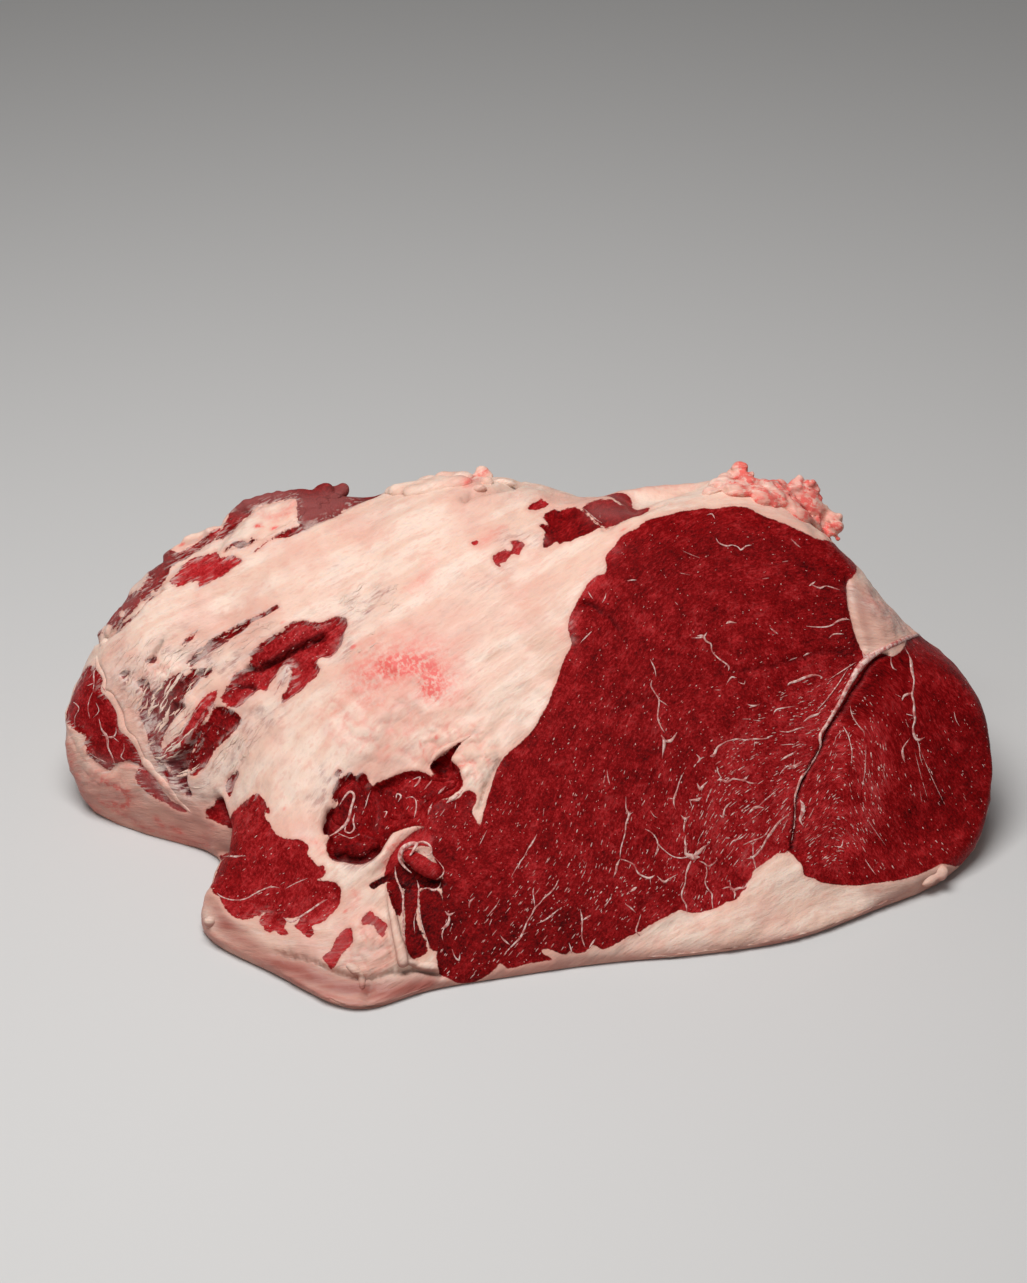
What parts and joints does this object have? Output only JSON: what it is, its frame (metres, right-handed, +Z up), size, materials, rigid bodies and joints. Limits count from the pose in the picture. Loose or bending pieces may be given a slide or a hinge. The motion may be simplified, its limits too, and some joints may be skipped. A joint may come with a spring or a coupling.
{
  "type": "raw horse silverside",
  "caption": "Boneless raw leg joint lying on its fat, its slanted cut end showing a big flat muscle and a rounder eye muscle side by side.",
  "frame": {"origin": "middle of the bounding box in plan, on the flat sole that the joint lies on", "axes": "+X along the joint's length, towards the eye muscle; -Y towards the cut end; +Z up"},
  "size_m": [0.4466, 0.3022, 0.1502],
  "materials": {
    "meat": "raw dark red lean with cream fat, moist satin",
    "fat": "raw cream fat and membrane, moist satin"
  },
  "bodies": {
    "root": {"silverside": "meat"}
  },
  "joints": []
}
